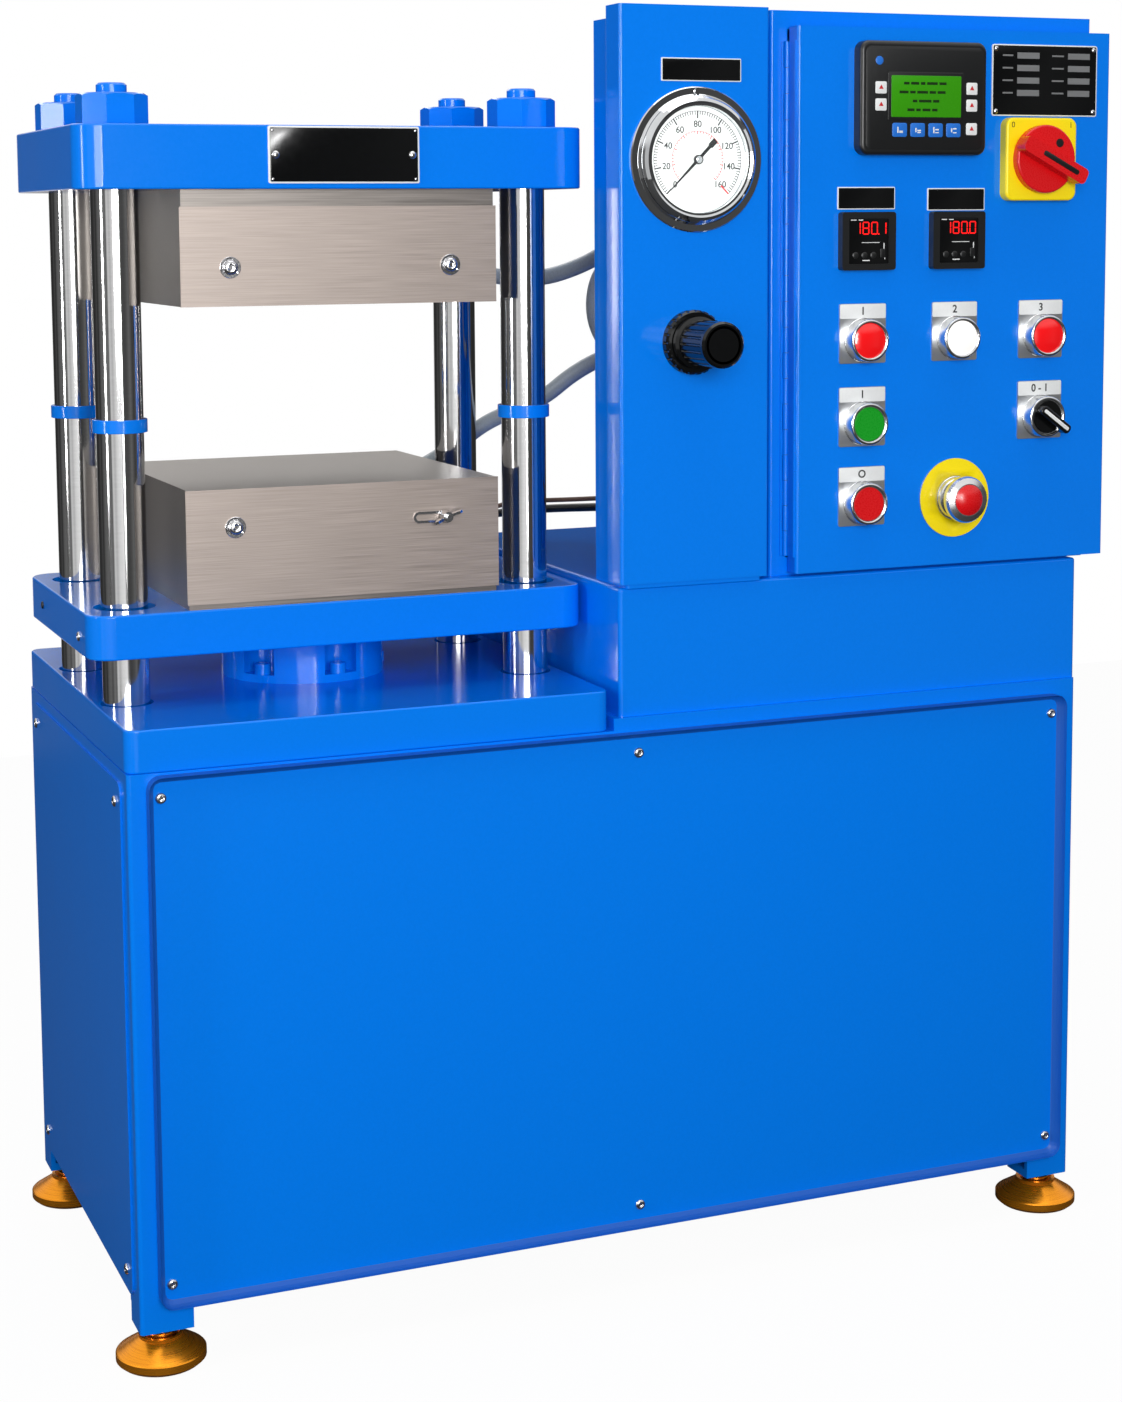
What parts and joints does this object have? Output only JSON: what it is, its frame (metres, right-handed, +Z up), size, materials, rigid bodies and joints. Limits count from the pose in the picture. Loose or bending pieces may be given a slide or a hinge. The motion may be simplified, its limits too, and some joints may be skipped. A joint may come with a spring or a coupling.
{
  "type": "four-post heated platen moulding press",
  "caption": "Four-post up-stroke hydraulic heated-platen press for rubber moulds on an enamelled base, with a gauge cabinet and a hinged-door electrical cabinet beside it.",
  "frame": {"origin": "middle of the footprint's bounding box, on the floor", "axes": "+Z up, +X to the operator's right, -Y towards the operator (front)"},
  "size_m": [1.0489, 0.558, 1.2535],
  "materials": {
    "blue_enamel": "gloss stove enamel",
    "hard_chrome": "ground and hard-chromed",
    "brushed_stainless": "brushed",
    "ground_steel": "ground",
    "heater_steel": "drawn tube",
    "gold_zinc": "turned, yellow-passivated",
    "turned_brass": "turned",
    "bearing_bronze": "turned",
    "black_steel": "black oxide",
    "pump_enamel": "grey enamel",
    "zinc_steel": "zinc plated",
    "chrome_trim": "polished",
    "clear_glass": "clear",
    "black_plastic": "moulded",
    "legend_foil": "satin anodised",
    "signal_lens": "moulded lens",
    "yellow_plastic": "moulded",
    "red_plastic": "moulded",
    "green_plastic": "moulded",
    "grey_gear": "moulded",
    "grey_conduit": "extruded PVC",
    "black_cable": "extruded",
    "brown_cable": "extruded"
  },
  "bodies": {
    "root": {"base_frame": "blue_enamel", "front_panel": "blue_enamel", "side_panels": "blue_enamel", "rear_panel": "blue_enamel", "bed_plate": "blue_enamel", "crown_plate": "blue_enamel", "tie_rod_nuts": "blue_enamel", "stop_collars": "blue_enamel", "cylinder_head": "blue_enamel", "cylinder_bolts": "blue_enamel", "pedestal_box": "blue_enamel", "pneumatic_body": "blue_enamel", "pneumatic_cover": "blue_enamel", "electrical_body": "blue_enamel", "hinge_frame_leaf": "blue_enamel", "tie_rods": "hard_chrome", "upper_cover": "brushed_stainless", "upper_platen": "ground_steel", "upper_spacer": "ground_steel", "upper_heaters": "heater_steel", "foot_cones": "gold_zinc", "foot_studs": "turned_brass", "cylinder_barrel": "black_steel", "hinge_pin": "black_steel", "hydraulic_power_unit": "pump_enamel", "gauge_case": "chrome_trim", "gauge_lens": "clear_glass", "regulator_body": "black_plastic", "conduit_glands": "black_plastic", "control_gear": "grey_gear", "upper_conduit": "grey_conduit", "heater_cable": "black_cable", "sensor_cable": "brown_cable"},
    "bolster": {"moving_bolster": "blue_enamel", "guide_bushes": "bearing_bronze", "ram": "hard_chrome", "lower_spacer": "ground_steel", "lower_platen": "ground_steel", "lower_heaters": "heater_steel", "lower_cover": "brushed_stainless", "cover_clip": "zinc_steel", "platen_glands": "black_plastic", "lower_conduit": "grey_conduit"},
    "wing_nut": {"wing_nut": "zinc_steel"},
    "door": {"electrical_door": "blue_enamel", "hinge_door_leaf": "blue_enamel", "hmi_panel": "black_plastic", "temperature_controllers": "black_plastic", "device_bezels": "chrome_trim", "pilot_lenses": "signal_lens", "legend_plates": "legend_foil", "switch_plate": "yellow_plastic"},
    "start_button": {"start_button": "green_plastic"},
    "stop_button": {"stop_button": "red_plastic"},
    "estop_button": {"estop_button": "chrome_trim"},
    "selector_knob": {"selector_knob": "black_plastic"},
    "switch_handle": {"switch_handle": "red_plastic"},
    "gauge_pointer": {"gauge_pointer": "black_steel"},
    "regulator_stem": {"regulator_stem": "black_steel"},
    "regulator_knob": {"regulator_knob": "black_plastic"}
  },
  "joints": [
    {"name": "bolster_lift", "type": "slide", "parent": "root", "child": "bolster", "axis": [0, 0, 1], "range_m": [0, 0.165], "deforming": ["lower_conduit"]},
    {"name": "wing_nut_turn", "type": "hinge", "parent": "bolster", "child": "wing_nut", "pos_m": [-0.1725, -0.137, 0.768], "axis": [0, -1, 0], "continuous": true},
    {"name": "door_swing", "type": "hinge", "parent": "root", "child": "door", "pos_m": [0.1627, -0.1908, 0.97], "axis": [0, 0, -1], "range_deg": [0, 105]},
    {"name": "start_press", "type": "slide", "parent": "door", "child": "start_button", "axis": [0, 1, 0], "range_m": [0, 0.004], "stiffness_N_per_m": 600, "springref_m": -0.002},
    {"name": "stop_press", "type": "slide", "parent": "door", "child": "stop_button", "axis": [0, 1, 0], "range_m": [0, 0.004], "stiffness_N_per_m": 600, "springref_m": -0.002},
    {"name": "estop_press", "type": "slide", "parent": "door", "child": "estop_button", "axis": [0, 1, 0], "range_m": [0, 0.006], "stiffness_N_per_m": 900, "springref_m": -0.002},
    {"name": "selector_turn", "type": "hinge", "parent": "door", "child": "selector_knob", "pos_m": [0.4445, -0.209, 0.849], "axis": [0, 1, 0], "range_deg": [0, 90]},
    {"name": "switch_turn", "type": "hinge", "parent": "door", "child": "switch_handle", "pos_m": [0.4363, -0.209, 1.1094], "axis": [0, -1, 0], "range_deg": [0, 90]},
    {"name": "gauge_sweep", "type": "hinge", "parent": "root", "child": "gauge_pointer", "pos_m": [0.056, -0.209, 1.108], "axis": [0, 1, 0], "range_deg": [0, 270], "stiffness_Nm_per_rad": 0.002, "springref_deg": -17.19},
    {"name": "regulator_turn", "type": "hinge", "parent": "root", "child": "regulator_stem", "pos_m": [0.0515, -0.209, 0.934], "axis": [0, 1, 0], "range_deg": [-720, 720]},
    {"name": "regulator_pull", "type": "slide", "parent": "regulator_stem", "child": "regulator_knob", "axis": [0, -1, 0], "range_m": [0, 0.003]}
  ]
}
